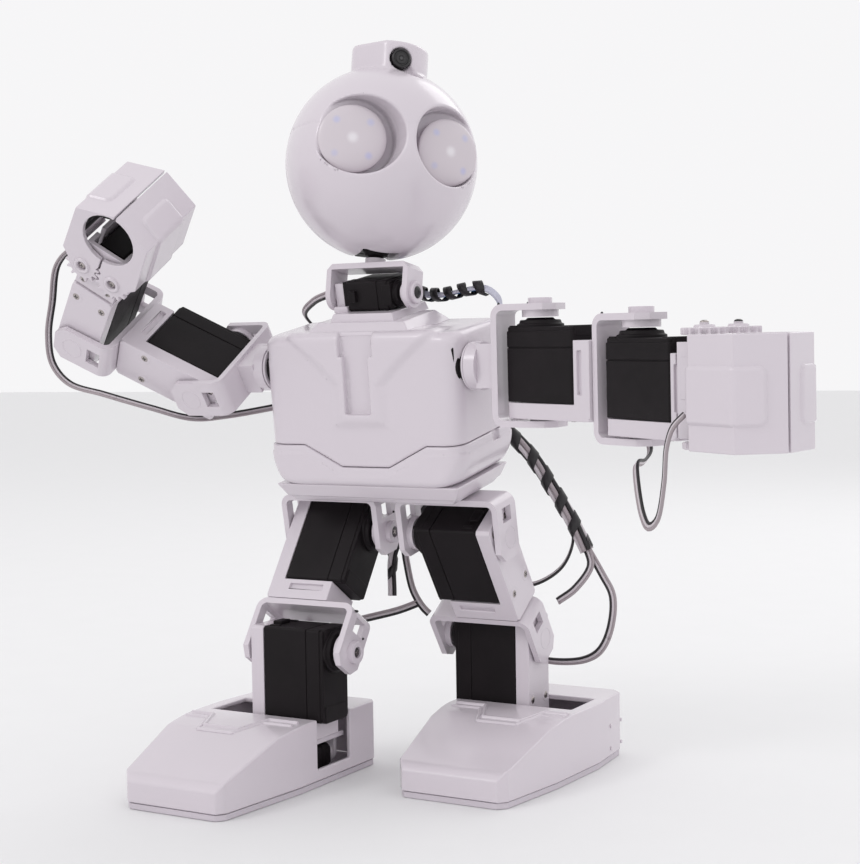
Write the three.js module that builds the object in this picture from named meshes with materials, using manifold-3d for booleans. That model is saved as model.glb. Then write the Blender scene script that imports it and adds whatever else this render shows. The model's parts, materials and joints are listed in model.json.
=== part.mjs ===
// Humanoid robot kit, standing in a fighting pose: a boxy torso and a ball head on servo-driven
// arms and legs. Every limb is the same module: a servo with a moulded cover, held at its output
// axis by a U bracket. Units are mm, +Z is up, the robot faces -Y and its left side is +X.
import * as THREE from 'three';
import { mergeVertices } from 'three/addons/utils/BufferGeometryUtils.js';
import Module from 'manifold-3d';

const wasm = await Module();
wasm.setup();

// ---------------------------------------------------------------- driving dimensions
const GAP = 0.3;               // air between neighbouring pieces
const LINK = 58;               // from one joint axis to the next along a limb
const WALL = 2.2;              // wall of the moulded shells

// A servo's own frame: x along its case, y across it, z along its output shaft.
const SERVO = { head: 10, tail: 30, half: 10, back: -14.5, face: 15.4, boss: 19, bossR: 9.5 };
const MICRO = { head: 6.2, tail: 16.8, half: 6.3, back: -9.2, face: 12, boss: 15.4, bossR: 5.6 };
const ANKLE = { ...MICRO, half: 5.4, bossR: 5.2 };
const COVER = { outer: -21.25, strapTop: 10, strapStart: SERVO.tail + GAP };

// A U bracket in the same frame: its web lies across x, its two ears lie across z.
const BRACKET = { half: 24.7, wall: 2.6, web: 18.2, end: 9, width: 17, corner: 5, boss: 2.2 };

const TORSO_PITCH = 10.7;      // the torso leans forward about the hip axis
const TORSO = { halfTop: 49.4, halfBottom: 48.3, top: 91.8, bottom: 26.8, seam: 43,
  frontTop: -19.5, frontBottom: -26, back: 24.1, panel: 21.6 };
const HIP_X = 29.5;            // leg centre plane
const KNEE_Z = 56.7;
const THIGH_ANGLE = 34;        // right thigh forward, left thigh back, from the vertical
const SHOULDER = { y: -8, z: 75.5, web: 62, servo: 30.4 };
const RIGHT_ARM = { pitch: -67.6, swing: 32.5, elbow: 98.7 };
const LEFT_ARM = { pitch: -9.5, swing: -23.7, elbow: -7.8 };
const BRACKET_SHIFT = -4.8;    // each arm bracket sits this far off the servo's middle
const HUB = 7.4;                // the squared part of the shoulder hub, beside the bracket's web
const NECK = { y: 0.5, z: 105.4, tilt: -19.5, half: 20.1, top: 12.3, bottom: 6.6, wall: 2.4, width: 13 };
const COLLAR = { top: 98.8, shelf: 95.6 };
const HEAD = { radius: 41, wall: 2.2, rise: 56, pan: 48.7, split: 8 };
const EYE = { x: 20.9, y: -25.8, z: 2.5, splay: 11.8, lensR: 13.9, socketR: 16.4, socketX: 18.8, socketZ: 3.4 };
const NECK_SHAFT = 40.8;       // the pan shaft's end, below the head's centre
const POD = { radius: 16.4, top: 49, lensR: 4.4, lensZ: 41.4, y: -2.5 };
const GRIP = { pivot: 47, spread: 7.5, teeth: 14, half: 20, shift: -3.3, hole: 12, holeX: 68 };
const FOOT = { top: 28.8, sole: 2.4, axisZ: 9.1, shift: -3.35 };
const CORD = 3.4;              // width of a three-wire servo lead

const WHITE = { color: 0xe2dbe2, roughness: 0.26, metalness: 0 };
const BLACK = { color: 0x242022, roughness: 0.55, metalness: 0 };
const FROST = { color: 0xd9d6dc, roughness: 0.4, metalness: 0 };
const GLASS = { color: 0x0c0b0d, roughness: 0.12, metalness: 0 };
const RUBBER = { color: 0xcfc8cf, roughness: 0.8, metalness: 0 };
const CABLE = { color: 0x8f8b90, roughness: 0.6, metalness: 0 };

// ---------------------------------------------------------------- shapes
const { PI, sin, cos } = Math;
const degrees = (angle) => angle * PI / 180;

function solid(geometry) {
  const bare = geometry.clone();
  bare.deleteAttribute('normal');
  bare.deleteAttribute('uv');
  const merged = mergeVertices(bare, 1e-4);
  const mesh = new wasm.Mesh({
    numProp: 3,
    vertProperties: new Float32Array(merged.attributes.position.array),
    triVerts: new Uint32Array(merged.index.array),
  });
  return new wasm.Manifold(mesh);
}

function toGeometry(manifold) {
  const mesh = manifold.getMesh();
  const geometry = new THREE.BufferGeometry();
  geometry.setAttribute('position', new THREE.BufferAttribute(new Float32Array(mesh.vertProperties), 3));
  geometry.setIndex(new THREE.BufferAttribute(new Uint32Array(mesh.triVerts), 1));
  geometry.computeVertexNormals();
  return geometry;
}

function block(x0, x1, y0, y1, z0, z1) {
  const geometry = new THREE.BoxGeometry(x1 - x0, y1 - y0, z1 - z0);
  geometry.translate((x0 + x1) / 2, (y0 + y1) / 2, (z0 + z1) / 2);
  return solid(geometry);
}

// A cylinder along x, y or z, between two stations on that axis.
function drum(axis, radius, from, to, centre = [0, 0], sides = 20) {
  const geometry = new THREE.CylinderGeometry(radius, radius, to - from, sides);
  geometry.translate(0, (from + to) / 2, 0);
  if (axis === 'x') {
    geometry.rotateZ(-PI / 2);
    geometry.translate(0, centre[0], centre[1]);
  } else if (axis === 'y') {
    geometry.translate(centre[0], 0, centre[1]);
  } else {
    geometry.rotateX(PI / 2);
    geometry.translate(centre[0], centre[1], 0);
  }
  return solid(geometry);
}

// An outline pushed along one axis. The outline's pairs are (x, y) for z, (x, z) for y and (y, z) for x.
function prism(axis, outline, from, to) {
  const shape = outline instanceof THREE.Shape ? outline
    : new THREE.Shape(outline.map(([a, b]) => new THREE.Vector2(a, b)));
  const geometry = new THREE.ExtrudeGeometry(shape, { depth: to - from, bevelEnabled: false, curveSegments: 4 });
  geometry.translate(0, 0, from);
  if (axis === 'y') {
    geometry.rotateX(PI / 2);
    geometry.translate(0, from + to, 0);
  } else if (axis === 'x') {
    geometry.applyMatrix4(new THREE.Matrix4().makeBasis(
      new THREE.Vector3(0, 1, 0), new THREE.Vector3(0, 0, 1), new THREE.Vector3(1, 0, 0)));
  }
  return solid(geometry);
}

function chamfered(x0, x1, y0, y1, cut) {
  return [[x0 + cut, y0], [x1 - cut, y0], [x1, y0 + cut], [x1, y1 - cut],
    [x1 - cut, y1], [x0 + cut, y1], [x0, y1 - cut], [x0, y0 + cut]];
}

function join(...pieces) {
  return pieces.reduce((whole, piece) => whole.add(piece));
}

function cut(whole, ...pieces) {
  return pieces.reduce((rest, piece) => rest.subtract(piece), whole);
}

function mirrorX(outline, side) {
  return side > 0 ? outline : outline.map(([x, y]) => [-x, y]).reverse();
}

// ---------------------------------------------------------------- scene graph helpers
function addPart(parent, name, manifold, finish) {
  const mesh = new THREE.Mesh(toGeometry(manifold), new THREE.MeshStandardMaterial(finish));
  mesh.name = name;
  parent.add(mesh);
  return mesh;
}

// A frame whose x, y and z axes point along the three given vectors.
function frame(parent, position, axes) {
  const group = new THREE.Group();
  group.position.set(...position);
  if (axes) {
    const basis = axes.map((axis) => new THREE.Vector3(...axis));
    group.setRotationFromMatrix(new THREE.Matrix4().makeBasis(...basis));
  }
  parent.add(group);
  return group;
}

// A joint: a frame turned about one of its parent's axes.
function pivot(parent, name, position, axis, angle) {
  const group = new THREE.Group();
  group.name = name;
  group.position.set(...position);
  group.rotation[axis] = degrees(angle);
  parent.add(group);
  return group;
}

// ---------------------------------------------------------------- servo modules
function servoCase(size) {
  const outline = chamfered(-size.head, size.tail, -size.half, size.half, 0.8);
  return join(prism('z', outline, size.back, size.face),
    drum('z', size.bossR, size.face - 1, size.boss));
}

function servoCover(strapEnd) {
  const { outer, strapTop, strapStart } = COVER;
  const back = SERVO.back - GAP;
  const cap = prism('z', chamfered(-SERVO.head, strapEnd, -SERVO.half, SERVO.half, 1.2), outer, back);
  const strap = block(strapStart, strapEnd, -SERVO.half, SERVO.half, outer + 1, strapTop);
  const slots = [-1, 1].map((side) => {
    const face = side * SERVO.half;
    return block(strapStart + 2, strapStart + 4.6, face - 1.4, face + 1.4, -11, 6);
  });
  return cut(join(cap, strap), ...slots);
}

// The ear that faces the shaft carries the horn inside and a boss outside.
function bracket({ end = BRACKET.end, lean = 0 } = {}) {
  const { half, wall, web, width, corner, boss } = BRACKET;
  const shape = new THREE.Shape();
  shape.moveTo(end, half);
  shape.lineTo(-web + corner, half);
  shape.absarc(-web + corner, half - corner, corner, PI / 2, PI, false);
  shape.lineTo(-web, -half + corner);
  shape.absarc(-web + corner, -half + corner, corner, PI, 1.5 * PI, false);
  shape.lineTo(end, -half);
  shape.lineTo(end, -half + wall);
  shape.lineTo(-web + corner, -half + wall);
  shape.absarc(-web + corner, -half + corner, corner - wall, 1.5 * PI, PI, true);
  shape.lineTo(-web + wall, half - corner);
  shape.absarc(-web + corner, half - corner, corner - wall, PI, PI / 2, true);
  shape.lineTo(end, half - wall);
  const bent = prism('y', shape, lean - width / 2, lean + width / 2);
  const side = prism('z', [[-web, lean - width / 2], [end - 4, lean - width / 2], [end, lean - width / 2 + 4],
    [end, lean + width / 2 - 4], [end - 4, lean + width / 2], [-web, lean + width / 2]], -half, half);
  const horn = drum('z', 7.4, SERVO.boss + GAP, half - wall + 0.5);
  const outerBoss = drum('z', 4.9, half - 0.5, half + boss);
  const idler = drum('z', 5, -half + wall - 0.5, COVER.outer - GAP);
  const windows = block(-13.8, -7.4, lean - 3.8, lean + 3.8, -half - 1, half + 1);
  const screwHole = drum('z', 2.5, half + boss - 1.4, half + boss + 1);
  return cut(join(bent.intersect(side), horn, outerBoss, idler), windows, screwHole);
}

// ---------------------------------------------------------------- torso
// The front face leans back as it rises. inset is the wall taken off every side.
function torsoBody(from, to, inset) {
  const front = (z) => TORSO.frontBottom
    + (TORSO.frontTop - TORSO.frontBottom) * (z - TORSO.bottom) / (TORSO.top - TORSO.bottom) + inset;
  const side = [[front(from), from], [TORSO.back - inset, from], [TORSO.back - inset, to], [front(to), to]];
  const width = TORSO.halfTop - inset;
  const low = TORSO.halfBottom - inset;
  const foot = from < TORSO.bottom + 1 ? 7 : 0;
  const face = [[-low + foot, from], [low - foot, from], [low, from + foot], [width, to], [-width, to],
    [-low, from + foot]];
  const plan = chamfered(-width, width, TORSO.frontBottom - 1 + inset, TORSO.back - inset, 4);
  return prism('x', side, -60, 60).intersect(prism('y', face, -40, 40))
    .intersect(prism('z', plan, from - 1, to + 1));
}

function collar() {
  const tier = (x0, x1, y0, y1, z0, z1, slope) => {
    const side = [[y0, z0], [y1, z0], [y1 - slope, z1], [y0 + slope, z1]];
    const face = [[x0, z0], [x1, z0], [x1 - slope, z1], [x0 + slope, z1]];
    return prism('x', side, x0, x1).intersect(prism('y', face, y0, y1));
  };
  const low = tier(-26, 26, -17.5, 19, TORSO.top - 1, COLLAR.shelf, 4.6);
  const high = tier(-15.6, 15.6, -11.5, 19.5, COLLAR.shelf - 0.5, COLLAR.top, 1);
  const holder = block(-17.2, MICRO.back - GAP, -2.5, 8.5, COLLAR.top - 1, NECK.z + 5.6);
  return join(low, high, holder);
}

function chestShell() {
  const { top, seam, panel } = TORSO;
  const shell = cut(torsoBody(seam + GAP, top, 0), torsoBody(seam - 1, top - WALL, 1.8));
  const slot = join(block(-8.2, 8.2, -25, -17.9, 82, top + 1), block(-6.2, 6.2, -30, -20, 57.8, 83));
  const openBack = block(-44, 44, panel - GAP, 40, seam - 2, top - 6);
  const bores = drum('x', SERVO.bossR + 0.6, -60, 60, [SHOULDER.y, SHOULDER.z]);
  const recess = slot.subtract(torsoBody(seam, top - 0.9, 0.9));
  return cut(join(shell, collar()), openBack, bores).subtract(recess);
}

function waistShell() {
  const { bottom, seam, panel } = TORSO;
  const shell = cut(torsoBody(bottom, seam, 0), torsoBody(bottom + WALL, seam + 1, 2));
  const tray = prism('y', [[-43, bottom + 0.5], [-41, 21], [-39, 18.8], [39, 18.8], [41, 21], [43, bottom + 0.5]],
    -22, 20);
  const openBack = block(-44, 44, panel - GAP, 40, bottom + 5, seam + 2);
  return cut(join(shell, tray), openBack);
}

function backPanel() {
  const { seam, bottom, top, panel, back } = TORSO;
  const plate = block(-43.7, 43.7, panel, back, bottom + 5.3, top - 6.3);
  const outlet = block(-6, 6, panel - 1, back + 1, 62, 70);
  const socket = block(28, 38, panel - 1, back + 1, seam + 2, seam + 12);
  const switchHole = block(-38.3, -27.7, panel - 1, back + 1, seam + 2.7, seam + 9.3);
  return cut(plate, outlet, socket, switchHole);
}

// A rocker, drawn about the x axis that it turns on; the pressed end lies back.
function rocker() {
  const outline = [[-2.4, -2.6], [1.6, -2.6], [3, 0], [3.2, 2.4], [-2.4, 2.4]];
  return prism('x', outline, -4.9, 4.9);
}

// ---------------------------------------------------------------- head
function ball(radius) {
  return solid(new THREE.SphereGeometry(radius, 40, 24).rotateX(PI / 2));
}

// Geometry drawn about an eye's centre, turned outward from straight ahead by the splay angle.
function inEye(side, manifold) {
  const geometry = toGeometry(manifold);
  geometry.rotateZ(side * degrees(EYE.splay));
  geometry.translate(side * EYE.x, EYE.y, EYE.z);
  return solid(geometry);
}

// An eye socket runs straight back and ends on the plane of its splayed lens.
function socket(side, radius, back) {
  const bore = drum('y', radius, -50, 0, [side * EYE.socketX, EYE.socketZ], 32);
  return bore.intersect(inEye(side, block(-30, 30, -40, back, -30, 30)));
}

function headShell() {
  const { radius, wall } = HEAD;
  const at = [0, POD.y];
  const outer = join(ball(radius), drum('z', POD.radius, 30, POD.top, at, 32));
  const inner = join(ball(radius - wall), drum('z', POD.radius - wall, 30, POD.top - wall, at, 28));
  const cups = [-1, 1].map((side) => socket(side, EYE.socketR + 1.8, 3.2).intersect(ball(radius - 0.8)));
  const sockets = [-1, 1].map((side) => socket(side, EYE.socketR, 0.6));
  const seats = [-1, 1].map((side) => inEye(side, drum('y', 12.6, -1, 5)));
  const front = POD.y - POD.radius;
  const lensHole = drum('y', POD.lensR, -50, front + 6, [0, POD.lensZ], 20);
  const lensSeat = drum('y', POD.lensR + 1.6, front + 1, front + 8, [0, POD.lensZ], 20);
  const opening = block(-8, 8, -9, 19, -50, -30);
  const shell = join(cut(outer, inner), ...cups, lensSeat.intersect(outer));
  return cut(shell, ...sockets, ...seats, lensHole, opening);
}

function half(front) {
  const plane = HEAD.split;
  return front ? block(-60, 60, -60, plane, -60, 60) : block(-60, 60, plane + GAP, 60, -60, 60);
}

function eyeLens(side) {
  const { lensR } = EYE;
  const profile = [[0, -0.3], [lensR, -0.3], [lensR, 0.8], [12, 2.1], [8, 2.8], [4, 3.1], [0, 3.2]];
  const geometry = new THREE.LatheGeometry(profile.map(([r, h]) => new THREE.Vector2(r, h)), 28);
  geometry.rotateX(PI);
  return inEye(side, solid(geometry));
}

// ---------------------------------------------------------------- gripper
// One jaw lies on the +y side of the closing plane. It is a half octagon shell with an end plate at
// each side, and each plate carries a gear about the jaw's own pin.
function jaw(side) {
  const { pivot: row, spread, half: tall, hole, holeX, teeth } = GRIP;
  const outer = [[row - 5, spread + 2], [row + 4, 18.2], [74.5, 17.6], [82, 0.45], [row + 4, 0.45],
    [row - 2, spread - 4]];
  const inner = [[row - 14, 20.5], [row + 2, 16], [73.2, 15.4], [79.8, 0], [79.8, -2], [row - 14, -2]];
  const flip = (outline) => (side > 0 ? outline : outline.map(([x, y]) => [x, -y]).reverse());
  const body = prism('z', flip(outer), -tall, tall);
  const hollow = prism('z', flip(inner), -tall + WALL, tall - WALL);
  const window = drum('z', hole, -tall - 1, tall + 1, [holeX, 0], 28);
  const pin = drum('z', 2.1, -30, 30, [row, side * spread], 16);
  const phase = side > 0 ? PI / teeth : 0;
  const gear = prism('z', gearOutline(phase), 0, 2.5);
  const gears = [-tall, tall - 0.2].map((z) => {
    const geometry = toGeometry(gear);
    geometry.translate(row, side * spread, z);
    return solid(geometry);
  });
  return cut(join(cut(body, hollow), ...gears), window, pin);
}

function gearOutline(phase) {
  const { teeth, spread } = GRIP;
  const points = [];
  const pitch = 2 * PI / teeth;
  for (let tooth = 0; tooth < teeth; tooth += 1) {
    const middle = tooth * pitch + phase;
    const tips = [[spread - 1.15, -0.3], [spread + 0.75, -0.11], [spread + 0.75, 0.11], [spread - 1.15, 0.3]];
    for (const [radius, share] of tips) {
      const angle = middle + share * pitch;
      points.push([radius * cos(angle), radius * sin(angle)]);
    }
  }
  return points;
}

function gripperFrame() {
  const { pivot: row, spread } = GRIP;
  const shell = block(33.8, 58.6, -9.6, 9.6, -17, 17.2);
  const cavity = block(36, 60, -7.6, 7.6, -15, 15.2);
  const notch = block(41, 60, -11, 11, -9.4, -5.6);
  const pins = [-1, 1].map((side) => drum('z', 1.7, -19.4, -16, [row, side * spread], 14)
    .add(drum('z', 1.7, 16, 24, [row, side * spread], 14)));
  return join(cut(shell, cavity, notch), ...pins);
}

// ---------------------------------------------------------------- feet
function footOutline(side, inset) {
  const outline = [[-6 + inset, -74 + inset], [38 - inset, -74 + inset], [41.5 - inset, -70],
    [46.4 - inset, -34], [48.2 - inset, 4], [46 - inset, 32], [37 - inset, 40 - inset], [-8 + inset, 40 - inset],
    [-13.8 + inset, 33], [-13.4 + inset, -24], [-9 + inset, -70]];
  return mirrorX(outline, side);
}

function footShell(side) {
  const { top, sole } = FOOT;
  const low = sole + GAP;
  const profile = [[-74, low], [-74, 11.4], [-71, 15], [-38, 26.6], [-27, 28.2], [-20, top], [36, top], [40, 23],
    [40, low]];
  const hollow = [[-71.6, 0], [-71.6, 11], [-69, 13.4], [-37, 24.4], [-20, top - WALL], [35, top - WALL],
    [37.8, 21], [37.8, 0]];
  const outer = prism('x', profile, -60, 60).intersect(prism('z', footOutline(side, 0), low, top));
  const inner = prism('x', hollow, -60, 60).intersect(prism('z', footOutline(side, WALL), 0, top));
  const across = side > 0 ? [-30, 42] : [-42, 30];
  const slotTop = block(...across, -11.6, 13.6, 22, 40);
  const wallX = side > 0 ? [-30, -8] : [8, 30];
  const slotSide = block(...wallX, -11.6, 13.6, 7.5, 40);
  return cut(outer, inner, slotTop, slotSide);
}

function footSole(side) {
  const plate = prism('z', footOutline(side, 0.6), 0, FOOT.sole);
  const bosses = [[6, -50], [30, -50], [30, 26]].map(([x, y]) => drum('z', 3, 1, FOOT.sole + 4, [side * x, y]));
  return join(plate, ...bosses);
}

function ankleBracket() {
  const wall = 2.2;
  const low = ANKLE.back - GAP - 0.7;
  const high = ANKLE.boss + GAP + 1.2;
  const web = block(-9.6, -7.4, -9, 9, low - wall, high + wall);
  const ear = (z) => join(block(-9.6, 0, -5.2, 5.2, z, z + wall), drum('z', 5.2, z, z + wall));
  const horn = drum('z', 4, ANKLE.boss + GAP, high + 0.5);
  const idler = drum('z', 3, low - 0.5, ANKLE.back - GAP);
  return join(web, ear(low - wall), ear(high), horn, idler);
}

// ---------------------------------------------------------------- cables
// A lead through points given in the frame of the standing robot.
function lead(points, width = CORD, steps = 24) {
  const stops = points.map((point) => new THREE.Vector3(...point));
  const curve = new THREE.CatmullRomCurve3(stops, false, 'centripetal');
  const ring = Array.from({ length: 8 }, (_, i) => {
    const angle = (i + 0.5) * PI / 4;
    return new THREE.Vector2(width / 2 * cos(angle), width / 2 * sin(angle));
  });
  const options = { extrudePath: curve, steps, bevelEnabled: false };
  return solid(new THREE.ExtrudeGeometry(new THREE.Shape(ring), options));
}

// A wrapped ribbon from the head's opening, and the neck servo's lead, to the top of the torso's back.
function headCable() {
  const ribbon = lead([[0, 5, 221], [1, 7, 215], [7, 8, 209.5], [20, 5, 208], [34, 3.5, 210], [42, 4, 210],
    [46.4, 7, 205.5], [44.5, 12, 199], [38, 13.5, 192]], 6, 30);
  const neckLead = lead([[-21.5, -11, 211], [-31, -8, 209], [-42, -2, 206.5], [-52, 6, 201], [-48, 12, 194],
    [-20, 13.5, 188], [12, 14, 188], [38, 13.5, 192.5]], CORD, 40);
  return join(ribbon, neckLead);
}

function rightArmCable() {
  return lead([[-109, -71, 229.5], [-120, -70, 231], [-134, -66, 224], [-143, -60, 208], [-147.5, -58, 194],
    [-146.5, -57, 181], [-139, -55, 172], [-122, -51, 166.8], [-101, -44, 160.5], [-90, -30, 155.5],
    [-83, -12, 156], [-66, 10, 160], [-50, 17, 163], [-42, 16, 164]], CORD, 44);
}

function leftArmCable() {
  return lead([[163, -78.9, 160.5], [159, -80.2, 156], [156.2, -79.2, 149], [154, -76.5, 136], [150, -73, 122.7],
    [145, -69, 119.5], [140.5, -64, 123.5], [136.5, -59, 134], [133, -51, 140.5], [131.5, -40, 140.8],
    [130.5, -31.5, 144.5], [127.5, -28.5, 152], [125, -27.6, 161]], CORD, 36);
}

// The trunk leaves the torso's back and divides: to the left knee's two servos, and between the legs.
function legHarness() {
  const trunk = lead([[26, 21, 152], [36, 29, 149], [48, 33, 137], [57, 34, 124], [63.5, 34.5, 114], [69, 35, 104.5],
    [73.5, 35, 96]], 7.5, 22);
  const thighLead = lead([[67, 34.5, 108], [66, 36, 98], [60.5, 36.5, 88], [50.5, 34, 81], [40, 33, 79]]);
  const shinLead = lead([[73, 35, 98], [80.5, 35, 86], [85, 35.5, 77], [84, 36, 64], [78.5, 38, 53], [68, 43, 46.5],
    [52, 46, 44], [42, 45.8, 45]], CORD, 30);
  const spareEnd = lead([[73, 35, 98], [76, 33, 90], [70, 30, 80], [62, 29, 74]]);
  const middle = lead([[30, 24, 151], [22, 26, 138], [4, 27, 122], [-10, 25, 106], [-17, 22, 92], [-17, 20.5, 73]],
    5.5, 20);
  const kneeLead = lead([[-13, 24, 100], [-10, 22, 88], [-6, 20.5, 76], [-1, 20, 69], [2.2, 20.4, 66]], CORD, 18);
  const crossing = lead([[-2, 20.5, 71], [-12, 18, 67], [-25, 10, 63.5], [-38, -4, 60], [-44, -14, 57.5]]);
  return join(trunk, thighLead, shinLead, spareEnd, middle, kneeLead, crossing);
}

// ---------------------------------------------------------------- assembly
const robot = new THREE.Group();
const HIP_Z = KNEE_Z + LINK * cos(degrees(THIGH_ANGLE));
const torso = pivot(robot, 'torso', [0, 0, HIP_Z], 'x', TORSO_PITCH);

addPart(torso, 'chest_shell', chestShell(), WHITE);
addPart(torso, 'waist_shell', waistShell(), WHITE);
addPart(torso, 'back_panel', backPanel(), WHITE);
addPart(torso, 'controller_unit', block(-38, 38, 8.6, 14.8, 40, 84), BLACK);
addPart(torso, 'battery_pack', block(-34, 34, -17, 8, 30.5, 43), BLACK);
const switchAxis = pivot(torso, 'switch_axis', [-33, TORSO.back - 1.4, TORSO.seam + 6], 'x', 0);
addPart(switchAxis, 'power_switch', rocker(), BLACK);

function shoulderServo(name, side) {
  const axes = [[0, 0, -1], [0, side, 0], [side, 0, 0]];
  const seat = frame(torso, [side * SHOULDER.servo, SHOULDER.y, SHOULDER.z], axes);
  addPart(seat, name, servoCase(SERVO), BLACK);
}
shoulderServo('right_shoulder_servo', -1);
shoulderServo('left_shoulder_servo', 1);

const neckSeat = frame(torso, [0, NECK.y, NECK.z], [[0, 1, 0], [0, 0, 1], [1, 0, 0]]);
addPart(neckSeat, 'neck_servo', servoCase(MICRO), BLACK);

function neckBracket() {
  const { half: wide, top, bottom, wall, width } = NECK;
  const outer = block(-wide, wide, -width / 2, width / 2, 0, top);
  const inner = block(-wide + wall, wide - wall, -width, width, -1, top - wall);
  const corners = [-1, 1].map((side) => prism('y', [[side * (wide - 2.6), top + 0.1], [side * (wide + 0.1), top + 0.1],
    [side * (wide + 0.1), top - 2.6]], -width, width));
  const ears = [[-wide, -wide + wall], [wide - wall, wide]].map(([x0, x1]) => drum('x', bottom, x0, x1, [0, 0], 24));
  const boss = drum('x', 4.6, wide - 0.5, wide + 1.6);
  const horn = drum('x', 4.4, MICRO.boss + GAP, wide - wall + 0.5);
  const idler = drum('x', 2.6, -wide + wall - 0.5, -17.2 - GAP);
  const panBoss = drum('z', 4.4, top - 0.5, HEAD.rise - NECK_SHAFT - GAP);
  return cut(join(cut(outer, inner), ...ears, boss, horn, idler, panBoss), ...corners);
}

const neck = pivot(torso, 'neck_tilt', [0, NECK.y, NECK.z], 'x', NECK.tilt);
addPart(neck, 'neck_bracket', neckBracket(), WHITE);
const head = pivot(neck, 'head_pan', [0, 0, HEAD.rise], 'z', HEAD.pan);
const skull = headShell();
addPart(head, 'head_front_shell', skull.intersect(half(true)), WHITE);
addPart(head, 'head_rear_shell', skull.intersect(half(false)), WHITE);
addPart(head, 'right_eye_lens', eyeLens(-1), FROST);
addPart(head, 'left_eye_lens', eyeLens(1), FROST);
const lensFront = POD.y - POD.radius - 0.6;
addPart(head, 'camera_lens', drum('y', POD.lensR - GAP, lensFront, lensFront + 6, [0, POD.lensZ], 24), GLASS);
const headSeat = frame(head, [0, 0, MICRO.boss - NECK_SHAFT], [[0, 1, 0], [1, 0, 0], [0, 0, -1]]);
addPart(headSeat, 'head_servo', servoCase(MICRO), BLACK);

// ---- arms
function shoulderBracket() {
  const plate = bracket();
  const hub = drum('x', 10, SHOULDER.servo + SERVO.boss + GAP - SHOULDER.web, -HUB, [0, 0], 28);
  const arm = block(-HUB - 0.5, 0.5, -7, 7, -9, 9);
  const shifted = toGeometry(plate);
  shifted.translate(BRACKET.web, 0, 0);
  return join(solid(shifted), hub, arm);
}

function arm(name, side, pose) {
  const inner = side > 0 ? [[1, 0, 0], [0, 1, 0], [0, 0, 1]] : [[-1, 0, 0], [0, -1, 0], [0, 0, 1]];
  const shoulder = pivot(torso, `${name}_shoulder_pitch`, [side * SHOULDER.web, SHOULDER.y, SHOULDER.z], 'x', pose.pitch);
  const module = frame(shoulder, [0, 0, 0], inner);
  addPart(module, `${name}_shoulder_bracket`, shoulderBracket(), WHITE);

  const swing = pivot(module, `${name}_shoulder_swing`, [BRACKET.web, 0, 0], 'z', pose.swing);
  addPart(swing, `${name}_upper_arm_servo`, servoCase(SERVO), BLACK);
  addPart(swing, `${name}_upper_arm_cover`, servoCover(LINK - BRACKET.web - GAP), WHITE);
  const elbowSeat = frame(swing, [LINK, 0, BRACKET_SHIFT]);
  addPart(elbowSeat, `${name}_elbow_bracket`, bracket(), WHITE);

  const elbow = pivot(elbowSeat, `${name}_elbow`, [0, 0, 0], 'z', pose.elbow);
  addPart(elbow, `${name}_forearm_servo`, servoCase(SERVO), BLACK);
  addPart(elbow, `${name}_forearm_cover`, servoCover(SERVO.tail + 3.4), WHITE);
  const hand = frame(elbow, [0, 0, GRIP.shift]);
  addPart(hand, `${name}_gripper_frame`, gripperFrame(), WHITE);
  const gripSeat = frame(hand, [43, 0, -2], [[1, 0, 0], [0, 1, 0], [0, 0, 1]]);
  addPart(gripSeat, `${name}_gripper_servo`, servoCase({ ...MICRO, tail: 12.4 }), BLACK);

  for (const [part, lie] of [['driven_jaw', 1], ['idle_jaw', -1]]) {
    const pin = [GRIP.pivot, lie * GRIP.spread, 0];
    const hinge = pivot(hand, `${name}_${part}_pin`, pin, 'z', 0);
    const home = frame(hinge, pin.map((value) => -value));
    addPart(home, `${name}_${part}`, jaw(lie), WHITE);
  }
}
arm('right', -1, RIGHT_ARM);
arm('left', 1, LEFT_ARM);

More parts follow.
